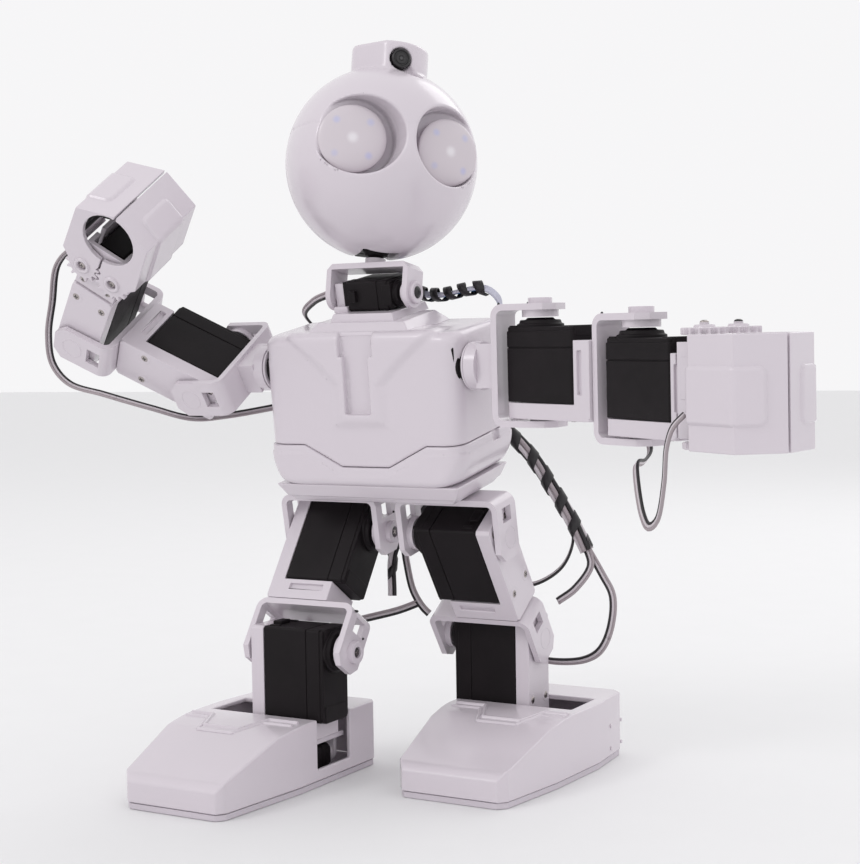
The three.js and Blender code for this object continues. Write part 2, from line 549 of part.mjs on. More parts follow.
// ---- legs
function leg(name, side, thighAngle) {
  const axes = side > 0 ? [[0, 0, -1], [0, -1, 0], [-1, 0, 0]] : [[0, 0, -1], [0, 1, 0], [1, 0, 0]];
  const forward = side > 0 ? 1.4 : -1.4;
  const hipSeat = frame(torso, [side * HIP_X, 0, 0], axes);
  addPart(hipSeat, `${name}_hip_bracket`, bracket({ lean: forward }), WHITE);

  const hip = pivot(torso, `${name}_hip`, [side * HIP_X, 0, 0], 'x', thighAngle - TORSO_PITCH);
  const thigh = frame(hip, [0, 0, 0], axes);
  addPart(thigh, `${name}_thigh_servo`, servoCase(SERVO), BLACK);
  addPart(thigh, `${name}_thigh_cover`, servoCover(LINK - BRACKET.web - GAP), WHITE);
  const kneeSeat = frame(hip, [0, 0, -LINK], axes);
  addPart(kneeSeat, `${name}_knee_bracket`, bracket({ lean: forward }), WHITE);

  const knee = pivot(hip, `${name}_knee`, [0, 0, -LINK], 'x', -thighAngle);
  const shin = frame(knee, [0, 0, 0], axes);
  addPart(shin, `${name}_shin_servo`, servoCase(SERVO), BLACK);
  addPart(shin, `${name}_shin_cover`, servoCover(KNEE_Z - FOOT.axisZ - 9.6 - GAP), WHITE);

  const drop = KNEE_Z - FOOT.axisZ;
  const ankleAxes = side > 0 ? [[1, 0, 0], [0, 0, -1], [0, 1, 0]] : [[-1, 0, 0], [0, 0, 1], [0, 1, 0]];
  const ankleSeat = frame(knee, [0, FOOT.shift, -drop], [[0, 0, -1], [-1, 0, 0], [0, 1, 0]]);
  addPart(ankleSeat, `${name}_ankle_bracket`, ankleBracket(), WHITE);

  const ankle = pivot(knee, `${name}_ankle`, [0, 0, -drop], 'y', 0);
  const servoSeat = frame(ankle, [0, FOOT.shift, 0], ankleAxes);
  addPart(servoSeat, `${name}_ankle_servo`, servoCase(ANKLE), BLACK);
  const foot = frame(ankle, [0, 0, -FOOT.axisZ]);
  addPart(foot, `${name}_foot_shell`, footShell(side), WHITE);
  addPart(foot, `${name}_foot_sole`, footSole(side), RUBBER);
}
leg('right', -1, -THIGH_ANGLE);
leg('left', 1, THIGH_ANGLE);

// The origin is under the middle of the robot without its cables, on the floor.
robot.updateMatrixWorld(true);
const extent = new THREE.Box3().setFromObject(robot, true);

// ---- cables, drawn in the frame of the hips
addPart(robot, 'head_cable', headCable(), CABLE);
addPart(robot, 'right_arm_cable', rightArmCable(), CABLE);
addPart(robot, 'left_arm_cable', leftArmCable(), CABLE);
addPart(robot, 'leg_harness', legHarness(), CABLE);

robot.position.set(-(extent.min.x + extent.max.x) / 2, -(extent.min.y + extent.max.y) / 2, -extent.min.z);

export default robot;
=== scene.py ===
# Looks of the humanoid robot kit. Lengths here are in millimetres until a piece is placed.
import json
import math

import bmesh
import bpy
import numpy as np
from mathutils import Matrix, Vector

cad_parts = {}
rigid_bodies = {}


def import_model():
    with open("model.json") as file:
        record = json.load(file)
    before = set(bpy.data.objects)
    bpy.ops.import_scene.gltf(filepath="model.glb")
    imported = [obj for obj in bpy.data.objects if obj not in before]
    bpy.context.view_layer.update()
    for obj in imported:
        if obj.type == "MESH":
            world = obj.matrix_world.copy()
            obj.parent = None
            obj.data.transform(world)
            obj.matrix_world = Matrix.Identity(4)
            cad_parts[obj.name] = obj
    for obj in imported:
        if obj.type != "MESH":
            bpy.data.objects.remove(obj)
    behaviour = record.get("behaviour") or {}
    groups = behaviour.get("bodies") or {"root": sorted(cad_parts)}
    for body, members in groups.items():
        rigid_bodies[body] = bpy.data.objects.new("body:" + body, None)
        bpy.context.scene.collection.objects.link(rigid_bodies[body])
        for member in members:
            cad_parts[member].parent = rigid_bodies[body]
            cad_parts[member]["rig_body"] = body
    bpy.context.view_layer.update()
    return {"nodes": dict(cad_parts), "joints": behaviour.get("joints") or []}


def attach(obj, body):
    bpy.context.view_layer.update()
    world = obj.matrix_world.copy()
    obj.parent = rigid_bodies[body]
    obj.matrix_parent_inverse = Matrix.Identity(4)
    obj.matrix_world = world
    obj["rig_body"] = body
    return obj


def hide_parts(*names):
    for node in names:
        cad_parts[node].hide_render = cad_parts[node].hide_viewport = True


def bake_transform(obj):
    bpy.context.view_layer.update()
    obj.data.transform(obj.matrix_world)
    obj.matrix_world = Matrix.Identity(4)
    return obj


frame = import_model()
joints = {j["name"]: j for j in frame["joints"]}
LINK, KNEE_Z, THIGH, HIP_X, LEAN = 58, 56.7, 34, 29.5, 10.7
HIP_Z = KNEE_Z + LINK * math.cos(math.radians(THIGH))
BACK, FACE, BOSS, BOSS_R = -14.5, 15.4, 19, 9.5
COVER_OUT = -21.25
HALF, BRACKET_BOSS = 24.7, 2.2
SHOULDER_Y, SHOULDER_Z = -8, 75.5
NECK_BASE = 105.4
TORSO_FOOT, TORSO_TOP, TORSO_WIDE = 26.8, 91.8, 48.3
HEAD_R, HEAD_JOIN = 41, 8.15
JAW_PIN_X, JAW_PIN_Y, JAW_HALF = 47, 7.5, 17.6
ANKLE_Z = 9.1


# ---------------------------------------------------------------- frames
def move(x, y, z):
    return Matrix.Translation((x, y, z))


def turn(axis, degrees):
    return Matrix.Rotation(math.radians(degrees), 4, axis)


def axes(x, y, z):
    return Matrix((x, y, z)).transposed().to_4x4()


hip = Vector(joints["right_hip"]["pos_m"]) * 1000
ORIGIN = move(hip.x + HIP_X, hip.y, 0)
TORSO = ORIGIN @ move(0, 0, HIP_Z) @ turn("X", LEAN)
NECK = TORSO @ move(0, 0.5, NECK_BASE) @ turn("X", -19.5)
HEAD = NECK @ move(0, 0, 56) @ turn("Z", 48.7)


# ---------------------------------------------------------------- camera, floor and light
def camera():
    yaw, pitch, roll = (math.radians(a) for a in (29.73, 2.77, -0.9))
    ahead = Vector((-math.sin(yaw) * math.cos(pitch), math.cos(yaw) * math.cos(pitch),
                    -math.sin(pitch)))
    right = Vector((math.cos(yaw), math.sin(yaw), 0))
    up = right.cross(ahead)
    side = math.cos(roll) * right + math.sin(roll) * up
    top = -math.sin(roll) * right + math.cos(roll) * up
    data = bpy.data.cameras.new("camera")
    data.sensor_fit = "VERTICAL"
    data.sensor_height = 36
    data.lens = 69.95
    obj = bpy.data.objects.new("camera", data)
    bpy.context.scene.collection.objects.link(obj)
    place = ORIGIN @ Vector((375.14, -629.24, 183.85))
    obj.matrix_world = Matrix.Translation(place / 1000) @ axes(side, top, -ahead)
    bpy.context.scene.camera = obj


def lamp(name, place, size, energy, tint=(1, 1, 1)):
    data = bpy.data.lights.new(name, "AREA")
    data.shape = "DISK"
    data.size = size
    data.energy = energy
    data.color = tint
    obj = bpy.data.objects.new(name, data)
    bpy.context.scene.collection.objects.link(obj)
    obj.location = place
    aim = Vector((0, 0, 0.17)) - Vector(place)
    obj.rotation_euler = aim.to_track_quat("-Z", "Y").to_euler()


camera()
lamp("key", (-0.75, -1.35, 1.35), 0.6, 4.6, (1, 0.985, 0.99))
lamp("fill", (1.3, -0.6, 0.7), 1.1, 0.8, (0.93, 0.93, 1))
lamp("rim", (0.2, 1.2, 1.1), 0.9, 3)
world = bpy.data.worlds.new("studio")
world.use_nodes = True
world.node_tree.nodes["Background"].inputs["Color"].default_value = (0.97, 0.965, 0.975, 1)
world.node_tree.nodes["Background"].inputs["Strength"].default_value = 0.955
bpy.context.scene.world = world
bpy.context.scene.view_settings.view_transform = "Standard"


# ---------------------------------------------------------------- materials
def ramp_noise(tree, scale, low, high, detail=3):
    coords = tree.nodes.new("ShaderNodeTexCoord")
    noise = tree.nodes.new("ShaderNodeTexNoise")
    noise.inputs["Scale"].default_value = scale
    noise.inputs["Detail"].default_value = detail
    tree.links.new(coords.outputs["Object"], noise.inputs["Vector"])
    ramp = tree.nodes.new("ShaderNodeMapRange")
    ramp.inputs["From Min"].default_value = 0.3
    ramp.inputs["From Max"].default_value = 0.7
    ramp.inputs["To Min"].default_value = low
    ramp.inputs["To Max"].default_value = high
    tree.links.new(noise.outputs["Fac"], ramp.inputs["Value"])
    return noise, ramp.outputs["Result"]


def material(name, colour, rough, grain, depth, metal=0.0, spread=0.04, coat=0.0,
             rough_spread=0.06):
    made = bpy.data.materials.new(name)
    made.use_nodes = True
    tree = made.node_tree
    shader = tree.nodes["Principled BSDF"]
    shader.inputs["Metallic"].default_value = metal
    shader.inputs["Coat Weight"].default_value = coat
    shader.inputs["Coat Roughness"].default_value = 0.12
    _, value = ramp_noise(tree, 35, 0, 1)
    mix = tree.nodes.new("ShaderNodeMix")
    mix.data_type = "RGBA"
    mix.inputs["A"].default_value = (*(c * (1 - spread) for c in colour), 1)
    mix.inputs["B"].default_value = (*(min(1, c * (1 + spread)) for c in colour), 1)
    tree.links.new(value, mix.inputs["Factor"])
    tree.links.new(mix.outputs["Result"], shader.inputs["Base Color"])
    _, roughness = ramp_noise(tree, 120, rough - rough_spread / 2, rough + rough_spread / 2, 5)
    tree.links.new(roughness, shader.inputs["Roughness"])
    fine, _ = ramp_noise(tree, grain, 0, 1, 2)
    bump = tree.nodes.new("ShaderNodeBump")
    bump.inputs["Strength"].default_value = depth
    bump.inputs["Distance"].default_value = 0.0001
    tree.links.new(fine.outputs["Fac"], bump.inputs["Height"])
    tree.links.new(bump.outputs["Normal"], shader.inputs["Normal"])
    return made


ABS = material("white_abs", (0.66, 0.605, 0.655), 0.25, 900, 0.015, spread=0.006, coat=0.35,
               rough_spread=0.03)
NYLON = material("black_nylon", (0.009, 0.0068, 0.008), 0.52, 2600, 0.5, spread=0.2)
NYLON.node_tree.nodes["Principled BSDF"].inputs["Specular IOR Level"].default_value = 0.16
STEEL = material("screw_steel", (0.42, 0.38, 0.37), 0.28, 700, 0.15, metal=1.0, spread=0.12)
DARK = material("screw_black", (0.012, 0.011, 0.012), 0.3, 900, 0.1, spread=0.2)
SOLE = material("sole_rubber", (0.6, 0.55, 0.6), 0.6, 1500, 0.3, spread=0.03)
RUBBER = material("rubber", (0.019, 0.017, 0.019), 0.8, 1500, 0.6, spread=0.2)
LENS = material("lens_glass", (0.004, 0.003, 0.005), 0.08, 300, 0.0, coat=1.0, spread=0.1)
WIRE_BLACK = material("wire_black", (0.012, 0.010, 0.012), 0.42, 1200, 0.2, spread=0.2)
WIRE_GREY = material("wire_grey", (0.36, 0.31, 0.33), 0.45, 1200, 0.2, spread=0.06)
WIRE_PALE = material("wire_pale", (0.62, 0.57, 0.6), 0.42, 1200, 0.2, spread=0.05)
RIBBON = material("ribbon_pale", (0.52, 0.52, 0.62), 0.4, 1500, 0.25, spread=0.06)
BLUE = material("ribbon_blue", (0.05, 0.2, 0.42), 0.45, 500, 0.3, spread=0.35)
FLOOR = material("studio_floor", (0.83, 0.83, 0.835), 0.75, 60, 0.02, spread=0.004)


def frosted():
    """Frosted acrylic over four pale blue lamps and a brighter middle, in the lens's own frame."""
    made = material("frosted_acrylic", (0.63, 0.575, 0.615), 0.36, 1500, 0.08, spread=0.015,
                    coat=0.2)
    tree = made.node_tree
    shader = tree.nodes["Principled BSDF"]
    base = shader.inputs["Base Color"].links[0].from_socket
    coords = tree.nodes.new("ShaderNodeTexCoord")
    spots = [(-7, 7, (0.30, 0.40, 0.86), 2.3, 0.3), (7, 7, (0.30, 0.40, 0.86), 2.4, 0.26),
             (-7, -7, (0.30, 0.40, 0.86), 2.2, 0.22), (7, -7, (0.28, 0.36, 0.86), 2.3, 0.3),
             (0, 0, (0.93, 0.92, 0.95), 3.2, 0.5)]
    for x, z, colour, radius, most in spots:
        distance = tree.nodes.new("ShaderNodeVectorMath")
        distance.operation = "DISTANCE"
        flat = tree.nodes.new("ShaderNodeVectorMath")
        flat.operation = "MULTIPLY"
        flat.inputs[1].default_value = (1, 0, 1)
        tree.links.new(coords.outputs["Object"], flat.inputs[0])
        tree.links.new(flat.outputs["Vector"], distance.inputs[0])
        distance.inputs[1].default_value = (x / 1000, 0, z / 1000)
        share = tree.nodes.new("ShaderNodeMapRange")
        share.interpolation_type = "SMOOTHSTEP"
        share.inputs["From Min"].default_value = radius / 6000
        share.inputs["From Max"].default_value = radius / 1000
        share.inputs["To Min"].default_value = most
        share.inputs["To Max"].default_value = 0
        tree.links.new(distance.outputs["Value"], share.inputs["Value"])
        mix = tree.nodes.new("ShaderNodeMix")
        mix.data_type = "RGBA"
        tree.links.new(share.outputs["Result"], mix.inputs["Factor"])
        tree.links.new(base, mix.inputs["A"])
        mix.inputs["B"].default_value = (*colour, 1)
        base = mix.outputs["Result"]
    tree.links.new(base, shader.inputs["Base Color"])
    return made


FROST = frosted()

plane = bpy.data.meshes.new("floor")
plane.from_pydata([(-6, -6, 0), (6, -6, 0), (6, 6, 0), (-6, 6, 0)], [], [(0, 1, 2, 3)])
floor = bpy.data.objects.new("floor", plane)
floor.location.z = -0.0002
plane.materials.append(FLOOR)
bpy.context.scene.collection.objects.link(floor)


# ---------------------------------------------------------------- piece making
def put(name, mesh, place, body, stands_for=(), local=False):
    """A mesh in millimetres becomes a piece that rides on a body."""
    obj = bpy.data.objects.new(name, mesh)
    bpy.context.scene.collection.objects.link(obj)
    if local:
        mesh.transform(Matrix.Scale(0.001, 4))
        place = place.copy()
        place.translation = place.translation / 1000
        obj.matrix_world = place
    else:
        mesh.transform(Matrix.Scale(0.001, 4) @ place)
    if body:
        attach(obj, body)
    if stands_for:
        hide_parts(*stands_for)
    return obj


def rounded(obj, width, segments=3):
    bevel = obj.modifiers.new("round", "BEVEL")
    bevel.width = width / 1000
    bevel.segments = segments
    bevel.limit_method = "ANGLE"
    bevel.angle_limit = math.radians(32)
    bevel.miter_outer = "MITER_ARC"
    obj.modifiers.new("normals", "WEIGHTED_NORMAL").keep_sharp = True
    obj.data.shade_smooth()
    return obj


def skin(node, finish, width, segments=3):
    """A piece shaped by its CAD solid, with every edge rounded."""
    source = frame["nodes"][node]
    bm = bmesh.new()
    bm.from_mesh(source.data)
    bmesh.ops.remove_doubles(bm, verts=bm.verts, dist=2e-6)
    bmesh.ops.dissolve_limit(bm, angle_limit=math.radians(0.6), verts=bm.verts, edges=bm.edges)
    mesh = bpy.data.meshes.new(node + "_form")
    bm.to_mesh(mesh)
    bm.free()
    mesh.materials.clear()
    mesh.materials.append(finish)
    obj = bpy.data.objects.new(node + "_form", mesh)
    bpy.context.scene.collection.objects.link(obj)
    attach(obj, source["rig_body"])
    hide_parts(node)
    return rounded(obj, width, segments)


def circle(radius, sides=9):
    turns = [2 * math.pi * i / sides for i in range(sides)]
    return [(radius * math.cos(angle), radius * math.sin(angle)) for angle in turns]


class Shape:
    """Closed forms gathered into one mesh, each with its own material."""

    def __init__(self, *finishes):
        self.bm = bmesh.new()
        self.finishes = finishes

    def _add(self, points, faces, finish, place=Matrix()):
        verts = [self.bm.verts.new(place @ Vector(p)) for p in points]
        for face in faces:
            made = self.bm.faces.new([verts[i] for i in face])
            made.material_index = finish

    def prism(self, outline, z0, z1, finish=0, place=Matrix(), top=None):
        n = len(outline)
        top = top or outline
        points = [(x, y, z0) for x, y in outline] + [(x, y, z1) for x, y in top]
        faces = [tuple(range(n))[::-1], tuple(range(n, 2 * n))]
        faces += [(i, (i + 1) % n, n + (i + 1) % n, n + i) for i in range(n)]
        self._add(points, faces, finish, place)

    def box(self, x0, x1, y0, y1, z0, z1, finish=0, place=Matrix()):
        self.prism([(x0, y0), (x1, y0), (x1, y1), (x0, y1)], z0, z1, finish, place)

    def lathe(self, profile, at=(0, 0), finish=0, place=Matrix(), sides=40):
        """The profile's (radius, height) pairs run from the axis round to the axis."""
        rings = []
        for r, z in profile:
            if r < 1e-6:
                rings.append([self.bm.verts.new(place @ Vector((at[0], at[1], z)))])
            else:
                rings.append([self.bm.verts.new(place @ Vector((at[0] + x, at[1] + y, z)))
                              for x, y in circle(r, sides)])
        for low, high in zip(rings, rings[1:]):
            for i in range(sides):
                j = (i + 1) % sides
                ring = [low[i % len(low)], low[j % len(low)],
                        high[j % len(high)], high[i % len(high)]]
                corners = list(dict.fromkeys(ring))
                if len(corners) > 2:
                    self.bm.faces.new(corners).material_index = finish

    def screw(self, x, y, z, radius=2.3, finish=0, dark=1, place=Matrix(), flip=1):
        """A pan-head screw with a cross recess, facing along z."""
        here = place @ move(x, y, z) @ (Matrix() if flip > 0 else turn("X", 180))
        self.lathe([(0, -1), (radius, -1), (radius, 0.25), (radius * 0.86, 0.6),
                    (radius * 0.5, 0.82), (0, 0.86)], (0, 0), finish, here, 28)
        # The recess is not cut: a raised cross in the dark finish stands in for it, and where that
        # finish is darker than the head it is painted shade in the recess.
        for spin in (0, 90):
            turned = here @ turn("Z", spin + 25)
            self.box(-radius * 0.55, radius * 0.55, -radius * 0.13, radius * 0.13, 0.5, 0.89,
                     dark, turned)

    def done(self, name):
        mesh = bpy.data.meshes.new(name)
        bmesh.ops.recalc_face_normals(self.bm, faces=self.bm.faces)
        self.bm.to_mesh(mesh)
        self.bm.free()
        for finish in self.finishes:
            mesh.materials.append(finish)
        return mesh


def chamfered(x0, x1, y0, y1, c):
    return [(x0 + c, y0), (x1 - c, y0), (x1, y0 + c), (x1, y1 - c),
            (x1 - c, y1), (x0 + c, y1), (x0, y1 - c), (x0, y0 + c)]


# ---------------------------------------------------------------- smooth solids from fields
def smax(a, b, k):
    h = np.maximum(k - np.abs(a - b), 0) / k
    return np.maximum(a, b) + h * h * k / 4


def smin(a, b, k):
    return -smax(-a, -b, k)


def slab(value, low, high):
    return np.maximum(low - value, value - high)


def brick(p, low, high, r):
    low, high = np.array(low, float) + r, np.array(high, float) - r
    q = np.abs(p - (low + high) / 2) - (high - low) / 2
    return np.linalg.norm(np.maximum(q, 0), axis=-1) + np.minimum(q.max(-1), 0) - r


def surface(name, field, low, high, step, finish):
    """The zero surface of a field as a mesh, its points moved onto the field."""
    lines = [np.arange(a, b + step, step) for a, b in zip(low, high)]
    nx, ny, nz = (len(line) for line in lines)
    grid = np.stack(np.meshgrid(*lines, indexing="ij"), -1).reshape(-1, 3)
    value = np.concatenate([field(part) for part in np.array_split(grid, 12)])
    inside = (value < 0).reshape(nx, ny, nz)
    count = sum(inside[i:nx - 1 + i, j:ny - 1 + j, k:nz - 1 + k].astype(int)
                for i in (0, 1) for j in (0, 1) for k in (0, 1))
    cells = (count > 0) & (count < 8)
    number = np.full(cells.shape, -1)
    number[cells] = np.arange(cells.sum())
    start = np.array([line[0] for line in lines]) + (np.argwhere(cells) + 0.5) * step
    points = start.copy()
    for _ in range(7):
        here = field(points)
        slope = np.stack([(field(points + e) - field(points - e)) / 0.04
                          for e in np.eye(3) * 0.02], -1)
        points -= (here / np.maximum((slope ** 2).sum(-1), 0.2))[:, None] * slope * 0.9
        points = start + np.clip(points - start, -0.9 * step, 0.9 * step)
    faces = []
    for axis in range(3):
        a = np.moveaxis(inside, axis, 0)
        changes = np.argwhere(a[:-1, 1:-1, 1:-1] != a[1:, 1:-1, 1:-1])
        number_axis = np.moveaxis(number, axis, 0)
        i, j, k = changes[:, 0], changes[:, 1] + 1, changes[:, 2] + 1
        quad = np.stack([number_axis[i, j - 1, k - 1], number_axis[i, j, k - 1],
                         number_axis[i, j, k], number_axis[i, j - 1, k]], -1)
        outward = a[i, j, k] if axis != 1 else ~a[i, j, k]
        quad[~outward] = quad[~outward][:, ::-1]
        faces.append(quad)
    mesh = bpy.data.meshes.new(name)
    mesh.from_pydata(points.tolist(), [], np.concatenate(faces).tolist())
    mesh.materials.append(finish)
    mesh.shade_smooth()
    return mesh


def lighter(obj, share):
    obj.modifiers.new("lighter", "DECIMATE").ratio = share
    return obj


# ---------------------------------------------------------------- torso
def front_of(z):
    return -26 + 6.5 * (z - TORSO_FOOT) / 65


def seam_z(x):
    return 44.6 - 9.2 * np.clip((30 - np.abs(x - 1.5)) / 18.5, 0, 1)


def body_field(p):
    x, y, z = p[..., 0], p[..., 1], p[..., 2]
    wide = TORSO_WIDE + 1.1 * (z - TORSO_FOOT) / 65
    lower = np.clip((seam_z(x) - 3.1 - z) / 0.35, 0, 1) * 0.35
    front = front_of(z) - y
    sides = np.abs(x) - wide
    around = smax(front, sides, 9)
    around = smax(around, y - 24.1, 3)
    foot = (np.abs(x) * 0.70711 + (TORSO_FOOT - z) * 0.70711) - (TORSO_WIDE - 5.6) * 0.70711
    field = smax(around, foot, 7)
    field = smax(field, TORSO_FOOT - z, 4)
    return smax(field, z - TORSO_TOP, 4.5) - lower + 0.25


def shoulders(p):
    """The Y on the chest: a wide top that narrows to a stem."""
    x, z = np.abs(p[..., 0] - 0.8), p[..., 2]
    arm = np.where(z > 70, 10.9 + (z - 70) * 0.93 + 0.012 * (z - 70) ** 2,
                   10.9 + (70 - z) * 0.06)
    return np.maximum((x - arm) * 0.75, 53.5 - z)


def chest_field(p):
    x, y, z = p[..., 0], p[..., 1], p[..., 2]
    rise = 1.7 * np.clip(0.5 - shoulders(p) / 6.0, 0, 1)
    rise = rise * rise * (3 - 2 * rise / 1.7) / 1.7
    field = body_field(p) + 1.0 - rise * np.clip((10 - y) / 20, 0, 1)
    field = smin(field, body_field(p) + 0.9, 0.3)
    slot = np.maximum(np.abs(x - 0.3) - np.where(z > 82, 8.2, 6.2), 57.8 - z)
    depth = np.maximum(slot, y - front_of(z) - 2.6)
    field = smax(field, -depth, 0.5)
    field = smax(field, seam_z(x) + 0.12 - z, 0.7)
    field = smax(field, -np.maximum(slab(x, -44, 44), np.maximum(21.2 - y, z - 85.8)), 0.5)
    hollow = np.maximum(slab(x, -39, 39), np.maximum(slab(y, 6, 22), slab(z, 30, 84)))
    field = np.maximum(field, -hollow)
    ring = np.abs(np.hypot(y - SHOULDER_Y, z - SHOULDER_Z) - 10.7) - 0.5
    ring = np.maximum(ring, 48.6 - np.abs(x))
    return smax(field, -ring, 0.3)


def waist_field(p):
    x, y, z = p[..., 0], p[..., 1], p[..., 2]
    field = smax(body_field(p) + 0.25, z - seam_z(x) + 0.12, 0.7)
    field = smax(field, -np.maximum(slab(x, -44, 44), np.maximum(21.2 - y, 31.8 - z)), 0.5)
    hollow = np.maximum(slab(x, -39, 39), np.maximum(slab(y, 6, 22), slab(z, 33, 60)))
    field = np.maximum(field, -hollow)
    notch = np.maximum(slab(y, 5, 10.5), np.maximum(40.5 - z, 46.6 - np.abs(x)))
    return smax(field, -notch, 0.3)


for part, field_of, low, high in (("chest", chest_field, (-51, -26, 33), (51, 26, 94)),
                                  ("waist", waist_field, (-51, -28, 24), (51, 26, 47))):
    mesh = surface(f"{part}_form", field_of, low, high, 0.8, ABS)
    lighter(put(f"{part}_form", mesh, TORSO, "torso", [f"{part}_shell"]), 0.5)


def frustum(shape, low, high, slope):
    (x0, y0, z0), (x1, y1, z1) = low, high
    bottom = [(x0, y0), (x1, y0), (x1, y1), (x0, y1)]
    dx, dy = slope
    top = [(x0 + dx, y0 + dy), (x1 - dx, y0 + dy), (x1 - dx, y1 - dy), (x0 + dx, y1 - dy)]
    shape.prism(bottom, z0, z1, top=top)


collar = Shape(ABS)
frustum(collar, (-26, -17.5, 90.5), (26, 19, 95.6), (4.6, 4.6))
frustum(collar, (-15.6, -11.5, 95.2), (15.6, 19.5, 98.8), (1, 1))
collar.box(-17.2, -9.6, -2.5, 8.5, 98.4, 110.6)
collar.box(-16.4, -9.6, -6.4, 12.2, 98.4, 101.2)
for side in (-1, 1):
    collar.lathe([(0, 48.4), (9.9, 48.4), (9.9, 49.45), (0, 49.45)], (0, 0), 0,
                 move(0, SHOULDER_Y, SHOULDER_Z) @ turn("Y", side * 90))
rounded(put("collar_form", collar.done("collar_form"), TORSO, "torso"), 0.8)
tray = Shape(ABS)
tray.prism([(-39, -19), (39, -19), (39, 18), (-39, 18)], 18.8, 21.2, 0,
           top=[(-41, -21), (41, -21), (41, 19.5), (-41, 19.5)])
tray.prism([(-41.6, -21.6), (41.6, -21.6), (41.6, 20), (-41.6, 20)], 21.2, 27.4, 0,
           top=[(-45, -24.4), (45, -24.4), (45, 21.5), (-45, 21.5)])
rounded(put("tray_form", tray.done("tray_form"), TORSO, "torso"), 0.7)
skin("back_panel", ABS, 0.6)
skin("controller_unit", RUBBER, 0.5)
skin("battery_pack", RUBBER, 2)
skin("power_switch", NYLON, 0.4)
details = Shape(STEEL, DARK)
for x in (-39, 39):
    for z in (38, 80):
        details.screw(x, -z, 24.2, 2.2, 0, 1, turn("X", -90))
for row in range(4):
    details.box(-20, 20, 24.0, 24.4, 48 + row * 3.2, 49.3 + row * 3.2, 1)
rounded(put("back_details", details.done("back_details"), TORSO, "torso"), 0.15, 2)


# ---------------------------------------------------------------- servos, covers and brackets
def servo(name, node, place, body, head=10, tail=30, half=10, back=BACK, face=FACE, boss=BOSS,
          boss_r=BOSS_R, big=True):
    shape = Shape(NYLON)
    split = face - 8.4 if big else face - 6.5
    outline = chamfered(-head, tail, -half, half, 0.8)
    inner = chamfered(-head + 0.35, tail - 0.35, -half + 0.35, half - 0.35, 0.8)
    shape.prism(outline, back, split)
    shape.prism(inner, split - 0.3, split + 0.6)
    shape.prism(outline, split + 0.35, face - 1.6)
    shape.prism(inner, face - 1.9, face)
    step = 0.6 if big else 0.4
    wide = half - 1.6
    shape.prism(chamfered(-head - 0.15, -head + 6, -wide, wide, step), face - 4, face + step)
    shape.prism(chamfered(tail - 7, tail + 0.15, -wide, wide, step), face - 4, face + step * 0.6)
    shape.lathe([(0, face - 2), (boss_r, face - 2), (boss_r, face + 1.1),
                 (boss_r * 0.9, face + 1.3), (boss_r * 0.86, boss - 0.9),
                 (boss_r * 0.62, boss - 0.8), (boss_r * 0.55, boss), (0, boss)])
    if big:
        for side in (-1, 1):
            shape.box(-head - 0.5, -head + 1, side * 6.6 - 1.1, side * 6.6 + 1.1,
                      back + 1.5, back + 6.5)
        shape.box(-head - 1.5, -head + 1, -3.6, 3.6, back + 0.6, back + 4.8)
    obj = put(name, shape.done(name), place, body, [node])
    return rounded(obj, 0.35, 2)


def cover(node, place, body, strap_end):
    skin(node, ABS, 0.7)
    details = Shape(STEEL, DARK, ABS)
    for x in (26.5, -6.5):
        for y in (-6.5, 6.5):
            details.lathe([(0, COVER_OUT - 0.12), (2.9, COVER_OUT - 0.12),
                           (3.2, COVER_OUT + 0.3), (0, COVER_OUT + 0.3)], (x, y), 2, sides=32)
            details.screw(x, y, COVER_OUT + 0.45, 1.9, 0, 1, flip=-1)
    for side in (-1, 1):
        details.prism(chamfered(strap_end - 3.4, strap_end + 0.25, -6.5, 6.5, 0.6), -6, 4, 2)
    obj = put(node + "_screws", details.done(node + "_screws"), place, body)
    return rounded(obj, 0.12, 2)


def bracket(node, place, body, lean=0):
    skin(node, ABS, 0.75)
    details = Shape(DARK, STEEL, ABS)
    high = HALF + BRACKET_BOSS
    details.screw(0, 0, high - 1.1, 2.1, 0, 1)
    details.lathe([(2.7, high - 0.3), (3.2, high + 0.12), (4.4, high + 0.12),
                   (4.7, high - 0.4), (2.7, high - 0.6)], (0, 0), 2)
    details.lathe([(4.3, -HALF + 0.3), (4.4, -HALF - 0.12), (4.75, -HALF - 0.12),
                   (4.85, -HALF + 0.3)], (0, 0), 2)
    for spot in (-1, 1):
        details.screw(-12 + spot * 4, lean + spot * 5.2, HALF - 0.2, 0.55, 0, 0)
    obj = put(node + "_screws", details.done(node + "_screws"), place, body)
    return rounded(obj, 0.1, 2)


def shoulder_servo(side, name):
    seat = TORSO @ move(side * 30.4, SHOULDER_Y, SHOULDER_Z)
    seat = seat @ axes((0, 0, -1), (0, side, 0), (side, 0, 0))
    servo(f"{name}_shoulder_servo_form", f"{name}_shoulder_servo", seat, "torso")


shoulder_servo(-1, "right")
shoulder_servo(1, "left")


